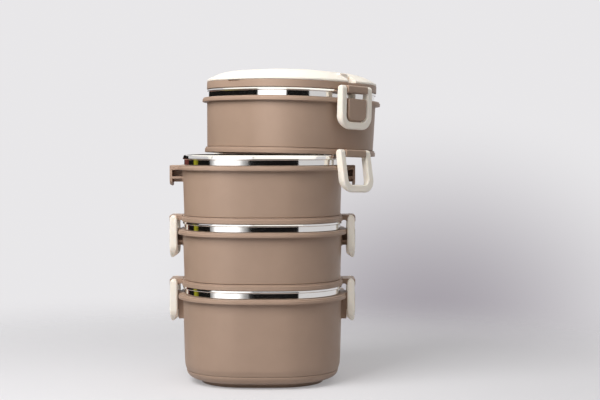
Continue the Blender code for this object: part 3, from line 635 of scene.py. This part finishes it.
def shell_mesh(low_z, foot, inner_foot, closed_lug=False):
    """Outer shell with its stepped flange and lugs; foot and inner_foot end the section below."""
    step_z = FLANGE_Z + FLANGE_STEP_HEIGHT
    section = rounded(foot + [
        (0.0, FLANGE_Z, 0.6), (FLANGE_REACH, FLANGE_Z, 0.5), (FLANGE_REACH, step_z, 0.35),
        (FLANGE_STEP_REACH, step_z, 0.2), (FLANGE_STEP_REACH, FLANGE_TOP, 0.5),
        (-WALL_THICKNESS, FLANGE_TOP, 0.3),
    ] + inner_foot, closed=True)
    mesh = loft(section, closed=True)
    lug_low = FLANGE_Z - LUG_DEPTH
    hook_z = low_z - HOOK_Z + HOOK_GAP
    step = (BOTTOM_LUG_REACH, FLANGE_Z - BOTTOM_LUG_DEPTH) if closed_lug else None
    mesh = on_both(mesh, lug_block(lug_low, step), "UNION")
    mesh = on_both(mesh, lug_plate(hook_z), "UNION")
    if closed_lug:
        return mesh
    back, front = HALF + GAP, LUG_FACE_X - LUG_PLATE
    rib_top = FLANGE_Z - LUG_RIB_DROP
    for bottom, top in ((rib_top, FLANGE_Z - GAP), (lug_low - LUG_RIB, rib_top - LUG_RIB)):
        corners = [(back, bottom, 0.3), (front, bottom, 0.3), (front, top, 0.3), (back, top, 0.3)]
        pocket = rounded(corners, closed=True)
        for low, high in ((LUG_WEB / 2, LUG_WIDTH), (-LUG_WIDTH, -LUG_WEB / 2)):
            mesh = on_both(mesh, bar(pocket, low, high), "DIFFERENCE")
    return mesh


def upper_shell(latch_pivot_z):
    """Shell of an upper tier; latch_pivot_z is the hinge height of the latches that hook under its lugs."""
    low = SKIRT_HEIGHT + GAP
    return shell_mesh(latch_pivot_z, [(-WALL_DRAFT, low, 0.4)], [(-WALL_DRAFT - WALL_THICKNESS, low, 0.4)])


def bottom_shell():
    """Shell of the bottom tier, which draws in towards the parting line over its foot cap."""
    line = BASE_LINE_HEIGHT - BOTTOM_Z
    top = BASE_ROUND_TOP - BOTTOM_Z
    reach = (BASE_LINE_REACH - WALL_DRAFT) / 2 + BASE_BULGE
    bulge_z = line + (top - line) * BASE_BULGE_SHARE
    foot = [(BASE_LINE_REACH, line, 0.35), (reach, bulge_z, BASE_BULGE_ROUND, 5),
            (-WALL_DRAFT, top, BASE_ROUND, 5)]
    inner = [(-WALL_DRAFT - WALL_THICKNESS, top, BASE_ROUND, 5),
             (reach - WALL_THICKNESS, bulge_z, BASE_BULGE_ROUND, 5),
             (BASE_LINE_REACH - WALL_THICKNESS, line, 0.35)]
    return shell_mesh(PITCH + PIVOT_HEIGHT, foot, inner, closed_lug=True)


def bottom_base():
    """Rounded foot cap under the parting line, with a recessed panel underneath."""
    top = BASE_LINE_HEIGHT - GAP - BOTTOM_Z
    edge = BASE_EDGE_HEIGHT - BOTTOM_Z
    drop, run = top - edge, BASE_LINE_REACH - BASE_EDGE_REACH
    inside = edge + BASE_THICKNESS
    bend = BASE_EDGE_REACH + (run - BASE_THICKNESS) * BASE_INSIDE_RUN
    section = [(BASE_EDGE_REACH, inside, 0), (bend, inside + drop * BASE_INSIDE_RISE, 4.0),
               (BASE_LINE_REACH - BASE_THICKNESS, top, 0.3), (BASE_LINE_REACH, top, 0.35)]
    for i in range(1, ROUND_STEPS + 1):
        turn = math.pi / 2 * i / ROUND_STEPS
        section.append((BASE_EDGE_REACH + run * math.cos(turn), top - drop * math.sin(turn), 0))
    low, panel = -BOTTOM_Z, FOOT_RECESS - BOTTOM_Z
    ring = FOOT_REACH - FOOT_WIDTH
    section += [(FOOT_REACH + FOOT_SLOPE, edge, 0.6), (FOOT_REACH, low, 0.6), (ring, low, 0.6),
                (ring - PANEL_SLOPE, panel, 0.6), (MIDDLE, panel, 0)]
    return loft(rounded(section))


def groove(floor_z):
    """Section of the groove that holds a seal, from its inner to its outer lower edge."""
    roof = floor_z + SEAL_HEIGHT + GAP
    return [(GROOVE_IN, floor_z, 0.3), (GROOVE_IN, roof, 0.3), (GROOVE_OUT, roof, 0.3),
            (GROOVE_OUT, floor_z, 0.2)]


def seal_mesh(floor_z):
    out, inside = CROWN_REACH + SEAL_WIDTH / 2, CROWN_REACH - SEAL_WIDTH / 2
    top = floor_z + SEAL_HEIGHT
    corners = [(inside, floor_z, 0.4), (out, floor_z, 0.4), (out, top, 0.4), (inside, top, 0.4)]
    return loft(rounded(corners, closed=True), closed=True)


def knuckle(section):
    """The block that fills the window of a latch and holds its hinge pin."""
    return bar(section, SIDE_PLAY - WINDOW_HALF, WINDOW_HALF - SIDE_PLAY, edge=0.35)


def knuckle_nose(pivot_z, top):
    """The knuckle's section round the hinge pin, from its underside up to its top edge."""
    end, turn = PIVOT_X + KNUCKLE_END, KNUCKLE_ROUND
    low = pivot_z - KNUCKLE_DROP
    low_round = arc((end - turn, low + turn), turn, -90, 0, steps=6)
    high_round = arc((end - turn, top - turn), turn, 0, 90, steps=6)
    return [(PIVOT_X - turn, low)] + low_round + high_round


def base_mesh():
    """Closed floor of an upper tier, with its skirt, seal groove, knuckles and a recessed panel."""
    panel, ring = NEST_DEPTH + PANEL_RECESS, GROOVE_IN - PANEL_RING
    section = [(MIDDLE, panel, 0), (ring - PANEL_SLOPE, panel, 0.5), (ring, NEST_DEPTH, 0.5)]
    section += groove(NEST_DEPTH)
    section += [(LIP_REACH, 0.0, 0.2), (SKIRT_REACH, 0.0, 0.35), (SKIRT_REACH, SKIRT_STEP_HEIGHT, 0.35),
                (SKIRT_STEP_REACH, SKIRT_STEP_HEIGHT, 0.2), (SKIRT_STEP_REACH, SKIRT_HEIGHT, 0.2),
                (MIDDLE, SKIRT_HEIGHT, 0)]
    mesh = loft(rounded(section))
    top = PIVOT_HEIGHT + KNUCKLE_TOP - KNUCKLE_SET_DOWN
    lip = HALF + (LIP_REACH + SKIRT_REACH) / 2
    deep = HALF + GROOVE_OUT + KNUCKLE_ROOT
    root = [(deep, top), (deep, NEST_DEPTH + KNUCKLE_ROOT), (lip, GAP), (lip + KNUCKLE_STEP, GAP)]
    mesh = on_both(mesh, knuckle(root + knuckle_nose(PIVOT_HEIGHT, top)), "UNION")
    return on_both(mesh, rod_y(PIN_RADIUS + GAP, LATCH_WIDTH / 2, PIVOT_X, PIVOT_HEIGHT), "DIFFERENCE")


def latch_ring(outer, inner, half, blend):
    """The loop's section between an outer and an inner edge point; blend is 1 on the hooked crossbar."""
    outer, inner = Vector(outer), Vector(inner)
    along, width = (outer - inner).normalized(), (outer - inner).length
    edge = LATCH_EDGE * half / (LATCH_THICKNESS / 2)
    relief, wedge = edge + (HOOK_RELIEF - edge) * blend, edge + (WEDGE - edge) * blend
    relief_run = edge + (HOOK_RELIEF_RUN * LATCH_BAR - edge) * blend
    wedge_run = edge + (WEDGE_RUN * LATCH_BAR - edge) * blend
    face = half - BAR_SET_BACK * blend
    corners = [(face, edge), (face - edge, 0.0), (relief - half, 0.0), (-half, relief_run),
               (-half, width - wedge_run), (wedge - half, width), (face - edge, width),
               (face, width - edge)]
    soft = LATCH_SOFTNESS * edge / LATCH_EDGE
    section = rounded([(x, run, soft) for x, run in corners], closed=True, steps=2)
    return [(x, *(inner + along * run)) for x, run in section]


def latch_mesh():
    """Loop latch, with its origin on the hinge axis and its outer face towards +X."""
    half, wide = LATCH_THICKNESS / 2, LATCH_WIDTH / 2
    rings = []
    for degrees in ARM_TOP_ANGLES:
        angle = math.radians(degrees)
        height = math.sin(angle)
        narrow = ARM_TOP_NARROW * height ** ARM_TOP_POWER
        outer = (wide - narrow * half, half * height)
        inner = (WINDOW_HALF + ARM_TOP_INNER * narrow * half, half * height)
        rings.append(latch_ring(outer, inner, half * ARM_TOP_SLIM * math.cos(angle), 0.0))
    outer_arc = arc((wide - LATCH_CORNER, LATCH_CORNER - LATCH_DROP), LATCH_CORNER, 0, -90, ARC_STEPS)
    inner_arc = arc((WINDOW_HALF - LATCH_WINDOW_CORNER, LATCH_WINDOW_CORNER - HOOK_Z),
                    LATCH_WINDOW_CORNER, 0, -90, ARC_STEPS)
    for i, (outer, inner) in enumerate(zip(outer_arc, inner_arc)):
        rings.append(latch_ring(outer, inner, half, math.sin(math.pi / 2 * i / ARC_STEPS) ** 2))
    rings += [[(x, -y, z) for x, y, z in ring] for ring in reversed(rings)]
    bm = bmesh.new()
    bridge(bm, [[bm.verts.new(point) for point in ring] for ring in rings], False)
    return combine(to_mesh(bm), rod_y(PIN_RADIUS + GAP, wide - PIN_COVER + GAP, 0.0, 0.0), "DIFFERENCE")


def dome_height(reach):
    """Height of the cream top above its lower edge, where the outline is moved by reach."""
    share = min(1.0, max(0.0, (CAP_REACH - reach) / DOME_RUN))
    return DOME_EDGE + (DOME_RISE - DOME_EDGE) * (1 - (1 - share) ** DOME_POWER)


def dome_curve(start, end, steps):
    """(reach, z, 0) points on the dome between two reaches."""
    reaches = [start + (end - start) * i / steps for i in range(steps + 1)]
    return [(reach, CAP_Z + dome_height(reach), 0) for reach in reaches]


OUTER_EDGE = [(CAP_REACH, CAP_Z, 0.35), (CAP_REACH, CAP_Z + DOME_EDGE, 1.0, 4)]


def pin_bore():
    """The hole for a handle pin, from inside the cap through to the inside of the handle's boss."""
    boss_x = HALF - HANDLE_WIDTH
    start = boss_x - HANDLE_PIN_GRIP - GAP
    end = boss_x + HANDLE_BOSS_LENGTH - HANDLE_PIN_END + GAP
    rim = circle((HANDLE_PIVOT_Y, HANDLE_PIVOT_Z), HANDLE_PIN_RADIUS + GAP)
    return prism([(start, y, z) for y, z in rim], (end - start, 0, 0))


def half_space(y_edge, side):
    """A block that covers the whole lid beyond y_edge on one side."""
    far, low, high = 200.0, CAP_Z - 5.0, CAP_Z + 30.0
    corners = [(-far, y_edge, low), (far, y_edge, low), (far, y_edge, high), (-far, y_edge, high)]
    return prism(corners, (0, side * far, 0))


def rounded_cut(mesh, y_edge, width):
    """Round the edges that a cut across the lid has left."""
    bm = bmesh.new()
    bm.from_mesh(mesh)
    bmesh.ops.remove_doubles(bm, verts=bm.verts, dist=0.002)
    bevel_where(bm, lambda e: all(abs(v.co.y - y_edge) < NEAR for v in e.verts), width)
    return to_mesh(bm)


def handle_mesh():
    """Bail handle: the rim of the dome round one half of the lid, with a hinge boss inside each end."""
    inner = -HANDLE_WIDTH
    section = OUTER_EDGE + dome_curve(CAP_REACH - DOME_INSET, inner + SLOT_INSET, steps=12)
    section += [(inner, CAP_Z + dome_height(inner), 0.9, 4), (inner, CAP_Z, 0.4)]
    mesh = loft(rounded(section, closed=True), closed=True)
    mesh = combine(mesh, half_space(HANDLE_END, -1), "INTERSECT")
    radius = HANDLE_BOSS_RADIUS - HANDLE_BOSS_PLAY
    nose = arc((HANDLE_PIVOT_Y, HANDLE_PIVOT_Z), radius, -90, 90, steps=16)
    root = HANDLE_END - HANDLE_BOSS_ROOT
    side = nose + [(root, HANDLE_PIVOT_Z + radius), (root, HANDLE_PIVOT_Z - radius)]
    start = HALF - HANDLE_WIDTH + HANDLE_BOSS_PLAY
    shift = (HANDLE_BOSS_LENGTH - HANDLE_BOSS_PLAY, 0, 0)
    boss = prism([(start, y, z) for y, z in side], shift, edge=0.3)
    mesh = rounded_cut(on_both(mesh, boss, "UNION", MIRROR), HANDLE_END, width=0.5)
    return on_both(mesh, pin_bore(), "DIFFERENCE", MIRROR)


def cap_mesh():
    """Cream cap: the middle of the dome, and all of it behind the handle's ends."""
    edge = -HANDLE_WIDTH - GAP
    flat = CAP_REACH - DOME_RUN
    below, above = [(MIDDLE, CAP_Z, 0)], [(MIDDLE, CAP_Z + DOME_RISE, 0)]
    middle = below + [(edge, CAP_Z, 0.3), (edge, CAP_Z + dome_height(edge), 0.8, 4)]
    middle += dome_curve(edge - SLOT_INSET, flat, steps=10) + above
    whole = below + OUTER_EDGE + dome_curve(CAP_REACH - DOME_INSET, flat, steps=20) + above
    back = combine(loft(rounded(whole)), half_space(CAP_END, 1), "INTERSECT")
    back = rounded_cut(back, CAP_END, width=0.5)
    mesh = combine(loft(rounded(middle)), back, "UNION")
    under, roof = CAP_Z - 1.0, CAP_Z + DOME_RISE - CAP_WALL
    hollow = [(MIDDLE, under, 0), (CAP_HOLLOW_REACH, under, 0), (CAP_HOLLOW_REACH, roof, 2.0),
              (MIDDLE, roof, 0)]
    mesh = combine(mesh, loft(rounded(hollow)), "DIFFERENCE")
    return on_both(mesh, pin_bore(), "DIFFERENCE", MIRROR)


def lid_base_mesh():
    """Rim plate of the lid: a dropped inner floor, seal groove, knuckles and a finger notch."""
    floor_z, well_z = LID_NEST + GAP, LID_RIM_HEIGHT - LID_PLATE
    section = [(MIDDLE, well_z, 0), (LID_WELL_REACH, well_z, 0.4), (LID_WELL_REACH, floor_z, 0.4)]
    section += groove(floor_z)
    section += [(0.0, 0.0, 0.2), (LID_RIM_REACH, 0.0, 0.35), (LID_RIM_REACH, LID_RIM_HEIGHT, 0.45),
                (MIDDLE, LID_RIM_HEIGHT, 0)]
    mesh = loft(rounded(section))
    root_x = HALF + KNUCKLE_ROOT
    top = LID_PIVOT_HEIGHT + KNUCKLE_TOP
    root = [(root_x, top), (root_x, GAP)]
    mesh = on_both(mesh, knuckle(root + knuckle_nose(LID_PIVOT_HEIGHT, top)), "UNION")
    mesh = on_both(mesh, rod_y(PIN_RADIUS + GAP, LATCH_WIDTH / 2, PIVOT_X, LID_PIVOT_HEIGHT), "DIFFERENCE")
    face, half = -HALF - LID_RIM_REACH, NOTCH_WIDTH / 2
    plan = [(-half, face - NOTCH_DEPTH), (half, face - NOTCH_DEPTH), (half, face + NOTCH_DEPTH),
            (-half, face + NOTCH_DEPTH)]
    floor = [(x, y, LID_RIM_HEIGHT - NOTCH_HEIGHT) for x, y in plan]
    notch = prism(floor, (0, 0, 2 * NOTCH_HEIGHT), edge=0.25)
    return combine(mesh, notch, "DIFFERENCE")


def steel_pin(node):
    """Give a pin of the CAD model its look; a pin has no finer mesh."""
    materials = frame["nodes"][node].data.materials
    materials.clear()
    materials.append(PIN_STEEL)


def show_latches(prefix, pivot_z, latch):
    """Hang the two latches of a tier or the lid on their hinges as far out as in the CAD model."""
    upright = latch_lean("second", 1)
    for side, word in ((-1, "left"), (1, "right")):
        lean = latch_lean(prefix, side) - upright
        turn = Matrix.Identity(4) if side > 0 else HALF_TURN
        place = PLACES[prefix] @ Matrix.Translation((side * PIVOT_X, 0, pivot_z)) @ turn
        place = place @ Matrix.Rotation(-lean, 4, "Y")
        show(f"{prefix}_{word}_latch", latch, place, f"{prefix}_latch_{word}", "cream_plastic")
        steel_pin(f"{prefix}_{word}_pin")


def show_tiers():
    """Every piece of the box; the second and the third tier share one shell."""
    latch = latch_mesh()
    base, seal = base_mesh(), seal_mesh(NEST_DEPTH)
    liner = liner_mesh(SKIRT_HEIGHT + LINER_FLOOR_AIR)
    shells = {"second": upper_shell(PITCH + PIVOT_HEIGHT), "top": upper_shell(LID_Z + LID_PIVOT_HEIGHT)}
    shells["third"] = shells["second"]
    for prefix, shell in shells.items():
        place, body = PLACES[prefix], prefix + "_tier"
        show(prefix + "_shell", shell, place, body, "taupe_plastic")
        show(prefix + "_base", base, place, body, "taupe_plastic")
        show(prefix + "_liner", liner, place, body, "liner_steel")
        show(prefix + "_seal", seal, place, body, "seal_silicone")
        show_latches(prefix, PIVOT_HEIGHT, latch)
    place = PLACES["bottom"]
    show("bottom_shell", bottom_shell(), place, "bottom_tier", "taupe_plastic")
    show("bottom_base", bottom_base(), place, "bottom_tier", "taupe_plastic")
    floor_z = BASE_EDGE_HEIGHT - BOTTOM_Z + BASE_THICKNESS + LINER_FLOOR_AIR
    show("bottom_liner", liner_mesh(floor_z), place, "bottom_tier", "liner_steel")

    place = PLACES["lid"]
    show("lid_base", lid_base_mesh(), place, "lid", "taupe_plastic")
    show("lid_cap", cap_mesh(), place, "lid", "cream_plastic")
    show("lid_seal", seal_mesh(LID_NEST + GAP), place, "lid", "seal_silicone")
    show("carry_handle", handle_mesh(), place, "handle", "cream_plastic")
    show_latches("lid", LID_PIVOT_HEIGHT, latch)
    steel_pin("handle_left_pin")
    steel_pin("handle_right_pin")


show_tiers()


# Studio: a pale floor, a soft key lamp from the left, and cards that only reflections see

PALE = (0.81, 0.80, 0.815)
# Painted shadow on the backdrop: the world is darker in one direction, where the box's shadow would fall
SHADE = (0.385, 0.36, 0.395)
SHADE_DIRECTION = (0.092, 0.988, -0.123)
SHADE_STRETCH = (1.0, 1.0, 1.4)
SHADE_SPREAD = 0.21
FLOOR_FADE = (0.08, 0.75)
FLOOR_SHARE, FLOOR_GLOW = 0.70, 0.31
CARD_STEPS = 12
BELOW_FLOOR = -0.1
BLACK = (0, 0, 0, 1)
WHITE = (1.0, 1.0, 1.0)
CAMERA_PLACE = (0.0335, -1.259, 0.2145)
CAMERA_TILT = 87.55
LENS, SENSOR_WIDTH = 84.0, 36.0


def looking_rays(nodes, links):
    """1 for camera, glossy and transmission rays, 0 for the rays that light other surfaces."""
    paths = nodes.new("ShaderNodeLightPath")
    value = paths.outputs["Is Camera Ray"]
    for word in ("Is Glossy Ray", "Is Transmission Ray"):
        node = nodes.new("ShaderNodeMath")
        node.operation = "MAXIMUM"
        links.new(value, node.inputs[0])
        links.new(paths.outputs[word], node.inputs[1])
        value = node.outputs[0]
    return value


def stage_object(name, bm, material):
    """An object of the studio, which is no part of the box."""
    mesh = to_mesh(bm)
    mesh.name = name
    mesh.materials.append(material)
    mesh.shade_smooth()
    obj = add_object(name, mesh)
    return obj


def floor_material():
    """Pale matt floor that thins out with distance, so that no horizon shows."""
    colour = tuple(FLOOR_SHARE * c for c in PALE)
    material, nodes, links, shader = new_material("pale_floor", colour, roughness=0.9)
    mottle = noise(nodes, links, scale=3, detail=2)
    links.new(tint(nodes, links, mottle, colour, low=0.995, high=1.005), shader.inputs["Base Color"])
    shader.inputs["Emission Color"].default_value = (*PALE, 1)
    glow = nodes.new("ShaderNodeMath")
    glow.operation = "MULTIPLY"
    glow.inputs[1].default_value = FLOOR_GLOW
    links.new(looking_rays(nodes, links), glow.inputs[0])
    links.new(glow.outputs[0], shader.inputs["Emission Strength"])
    shader.inputs["Specular IOR Level"].default_value = 0.1
    coords = nodes.new("ShaderNodeTexCoord")
    away = vector_step(nodes, links, "LENGTH", coords.outputs["Object"])
    thin = ranged(nodes, links, away, FLOOR_FADE, (1, 0), "SMOOTHERSTEP")
    links.new(thin, shader.inputs["Alpha"])
    return material


def make_floor():
    bm = bmesh.new()
    far = FLOOR_FADE[1]
    corners = [(-far, -far, 0), (far, -far, 0), (far, far, 0), (-far, far, 0)]
    bm.faces.new([bm.verts.new(corner) for corner in corners])
    stage_object("studio_floor", bm, floor_material())


def reflector(name, bm, colour, strength, soft=0.0):
    """A bright or dark sheet that only reflections see; soft is the share where each end dims."""
    material, nodes, links, shader = new_material(name + "_paint", colour, roughness=1.0)
    shader.inputs["Specular IOR Level"].default_value = 0.0
    shader.inputs["Emission Color"].default_value = (*colour, 1)
    shader.inputs["Emission Strength"].default_value = strength
    if soft:
        coords = nodes.new("ShaderNodeTexCoord")
        axes = nodes.new("ShaderNodeSeparateXYZ")
        ramp = nodes.new("ShaderNodeValToRGB")
        ramp.color_ramp.interpolation = "EASE"
        stops = ramp.color_ramp.elements
        stops[0].position, stops[1].position = 0.0, 1.0
        stops[0].color = stops[1].color = BLACK
        for place in (soft, 1 - soft):
            stops.new(place).color = (*colour, 1)
        links.new(coords.outputs["Generated"], axes.inputs[0])
        links.new(axes.outputs["X"], ramp.inputs["Fac"])
        links.new(ramp.outputs["Color"], shader.inputs["Emission Color"])
    obj = stage_object(name, bm, material)
    obj.visible_camera = obj.visible_diffuse = obj.visible_shadow = False


def card(name, angles, heights, colour, strength, soft=0.0, distance=0.5):
    """An upright curved card round the object; angles from the camera's side, positive to its right."""
    bm = bmesh.new()
    start, end = angles
    rings = []
    for z in heights:
        ring = []
        for i in range(CARD_STEPS + 1):
            angle = math.radians(start + (end - start) * i / CARD_STEPS)
            ring.append(bm.verts.new((distance * math.sin(angle), -distance * math.cos(angle), z)))
        rings.append(ring)
    low, high = rings
    for i in range(CARD_STEPS):
        bm.faces.new((low[i], low[i + 1], high[i + 1], high[i]))
    reflector(name, bm, colour, strength, soft)


def ceiling(height, radius, colour, strength):
    """A round bright card above the object."""
    bm = bmesh.new()
    up = Matrix.Translation((0, 0, height))
    bmesh.ops.create_circle(bm, cap_ends=True, segments=48, radius=radius, matrix=up)
    reflector("ceiling_card", bm, colour, strength)


def lamp(name, power, size, azimuth, elevation, distance, target=(0, 0, 0.13)):
    """A soft square lamp; azimuth is from the camera's side, positive to its right."""
    light = bpy.data.lights.new(name, "AREA")
    light.size = size
    light.energy = power
    obj = add_object(name, light)
    around, up = math.radians(azimuth), math.radians(elevation)
    away = Vector((math.sin(around) * math.cos(up), -math.cos(around) * math.cos(up), math.sin(up)))
    obj.location = Vector(target) + away * distance
    obj.rotation_euler = away.to_track_quat("Z", "Y").to_euler()
    obj.visible_glossy = False
    obj.visible_camera = False


def make_world(ambient):
    """The pale surroundings with a painted shadow, darker in one direction; ambient is how much they light.
    """
    world = bpy.data.worlds.new("studio")
    bpy.context.scene.world = world
    world.use_nodes = True
    nodes, links = world.node_tree.nodes, world.node_tree.links
    strength = ranged(nodes, links, looking_rays(nodes, links), target=(ambient, 1))
    coords = nodes.new("ShaderNodeTexCoord")
    # Painted shadow: the world darkens towards SHADE_DIRECTION
    off = vector_step(nodes, links, "SUBTRACT", coords.outputs["Generated"], SHADE_DIRECTION)
    apart = vector_step(nodes, links, "LENGTH", vector_step(nodes, links, "MULTIPLY", off, SHADE_STRETCH))
    soft = ranged(nodes, links, apart, (0, SHADE_SPREAD), curve="SMOOTHSTEP")
    mix = nodes.new("ShaderNodeMix")
    mix.data_type = "RGBA"
    mix.inputs["A"].default_value = (*SHADE, 1)
    mix.inputs["B"].default_value = (*PALE, 1)
    links.new(soft, mix.inputs["Factor"])
    background = nodes["Background"]
    links.new(mix.outputs["Result"], background.inputs["Color"])
    links.new(strength, background.inputs["Strength"])


def make_camera():
    """The photographer's view, as fitted to the outline in the photo."""
    data = bpy.data.cameras.new("camera")
    data.lens, data.sensor_width = LENS, SENSOR_WIDTH
    camera = add_object("camera", data)
    camera.location = CAMERA_PLACE
    camera.rotation_euler = (math.radians(CAMERA_TILT), 0, 0)
    bpy.context.scene.camera = camera


make_floor()
card("softbox_card", (-63, -5), (0.22, 0.6), WHITE, 1.6, soft=0.05, distance=0.49)
card("softbox_low_card", (-62, -7), (BELOW_FLOOR, 0.22), WHITE, 1.6, soft=0.2, distance=0.49)
card("dark_left_card", (-160, -55), (BELOW_FLOOR, 0.318), (0.02, 0.018, 0.016), 0.0)
card("wine_card", (-150, -122), (BELOW_FLOOR, 0.22), (0.2, 0.06, 0.05), 0.15, soft=0.4, distance=0.48)
card("lime_card", (-103, -90), (BELOW_FLOOR, 0.22), (0.42, 0.40, 0.03), 0.4, soft=0.35, distance=0.48)
card("dark_front_card", (-12, 35), (BELOW_FLOOR, 0.33), (0.02, 0.018, 0.018), 0.0)
ceiling(height=0.9, radius=1.3, colour=(1.0, 0.975, 0.9), strength=1.35)
lamp("key", power=8.0, size=0.65, azimuth=-40, elevation=37, distance=0.82, target=(0, 0, 0.22))
lamp("front_fill", power=0.3, size=0.5, azimuth=28, elevation=25, distance=0.7, target=(0, 0, 0.25))
lamp("top", power=2.7, size=1.6, azimuth=12, elevation=62, distance=1.3)
lamp("back_fill", power=2.5, size=1.2, azimuth=140, elevation=25, distance=1.3)
make_world(ambient=0.2)
make_camera()
bpy.context.scene.view_settings.view_transform = "Standard"
